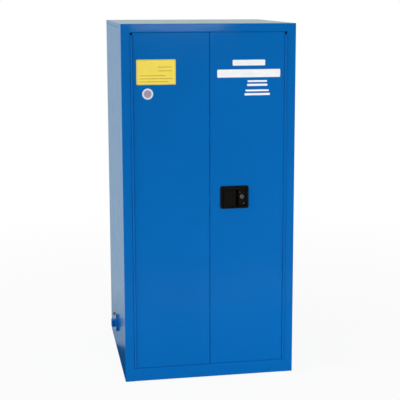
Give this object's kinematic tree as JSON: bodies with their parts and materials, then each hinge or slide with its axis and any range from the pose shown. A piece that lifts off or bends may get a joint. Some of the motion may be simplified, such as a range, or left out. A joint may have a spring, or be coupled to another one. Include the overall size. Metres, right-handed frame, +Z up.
{
  "type": "corrosive storage cabinet",
  "caption": "Free-standing double-wall steel cabinet with two hinged doors, a paddle latch, a key lock, shelves and spill trays for corrosive liquids.",
  "frame": {"origin": "on the floor, under the middle of the bounding box", "axes": "+X to the right of someone facing the doors, +Y from the doors to the back, +Z up"},
  "size_m": [0.8578, 0.7988, 1.651],
  "materials": {
    "blue_paint": "gloss powder coat",
    "tray_plastic": "natural polyethylene",
    "latch_black": "satin black",
    "lock_chrome": "polished",
    "brass": "plain",
    "plain_steel": "zinc plated"
  },
  "bodies": {
    "cabinet": {"back_panel": "blue_paint", "base_pan": "blue_paint", "foot_nuts": "plain_steel", "ground_nut": "brass", "ground_stud": "brass", "ground_washer": "brass", "header_keeper": "plain_steel", "inner_back_wall": "blue_paint", "inner_ceiling": "blue_paint", "inner_left_wall": "blue_paint", "inner_right_wall": "blue_paint", "left_flame_arrester": "plain_steel", "left_hinge_frame_leaf": "blue_paint", "left_hinge_pin": "plain_steel", "left_side_panel": "blue_paint", "left_vent_duct": "blue_paint", "left_vent_plug": "blue_paint", "levelling_feet": "plain_steel", "lower_shelf": "blue_paint", "lower_tray": "tray_plastic", "right_flame_arrester": "plain_steel", "right_hinge_frame_leaf": "blue_paint", "right_hinge_pin": "plain_steel", "right_side_panel": "blue_paint", "right_vent_duct": "blue_paint", "right_vent_plug": "blue_paint", "roof_panel": "blue_paint", "shelf_clips": "plain_steel", "shelf_standards": "plain_steel", "sill_keeper": "plain_steel", "sump_pan": "blue_paint", "sump_tray": "tray_plastic", "upper_shelf": "blue_paint", "upper_tray": "tray_plastic"},
    "left_door": {"left_door_skin": "blue_paint", "left_door_liner": "blue_paint", "left_door_stiffener": "blue_paint", "left_hinge_door_leaf": "blue_paint", "bolt_keeper": "plain_steel"},
    "right_door": {"right_door_skin": "blue_paint", "right_door_liner": "blue_paint", "right_door_stiffener": "blue_paint", "right_hinge_door_leaf": "blue_paint", "latch_housing": "latch_black", "paddle_pin": "plain_steel", "slide_studs": "plain_steel", "lock_barrel": "lock_chrome", "lock_nut": "plain_steel", "rod_guides": "plain_steel"},
    "paddle": {"paddle": "latch_black"},
    "latch_slide": {"latch_slide": "plain_steel"},
    "upper_rod": {"upper_rod": "plain_steel"},
    "lower_rod": {"lower_rod": "plain_steel"},
    "lock": {"lock_plug": "lock_chrome", "lock_cam": "plain_steel", "cam_screw": "plain_steel"}
  },
  "joints": [
    {"name": "left_door_hinge", "type": "hinge", "parent": "cabinet", "child": "left_door", "pos_m": [-0.35013, -0.39437, 0.84], "axis": [0, 0, -1], "range_deg": [0, 170]},
    {"name": "right_door_hinge", "type": "hinge", "parent": "cabinet", "child": "right_door", "pos_m": [0.35013, -0.39437, 0.84], "axis": [0, 0, 1], "range_deg": [0, 170]},
    {"name": "paddle_pull", "type": "hinge", "parent": "right_door", "child": "paddle", "pos_m": [0.069, -0.39237, 0.857], "axis": [0, 0, -1], "range_deg": [0, 28], "stiffness_Nm_per_rad": 0.6, "springref_deg": -20.05},
    {"name": "key_turn", "type": "hinge", "parent": "right_door", "child": "lock", "pos_m": [0.15, -0.39137, 0.862], "axis": [0, 1, 0], "range_deg": [0, 90]},
    {"name": "latch_slide_travel", "type": "slide", "parent": "right_door", "child": "latch_slide", "axis": [1, 0, 0], "range_m": [0, 0.00904]},
    {"name": "upper_rod_travel", "type": "slide", "parent": "right_door", "child": "upper_rod", "axis": [0, 0, -1], "range_m": [0, 0.00904]},
    {"name": "lower_rod_travel", "type": "slide", "parent": "right_door", "child": "lower_rod", "axis": [0, 0, 1], "range_m": [0, 0.00904]}
  ],
  "couplings": [
    {"joint": "latch_slide_travel", "follows": "paddle_pull", "m_per_rad": 0.018493},
    {"joint": "upper_rod_travel", "follows": "paddle_pull", "m_per_rad": 0.018493},
    {"joint": "lower_rod_travel", "follows": "paddle_pull", "m_per_rad": 0.018493}
  ]
}
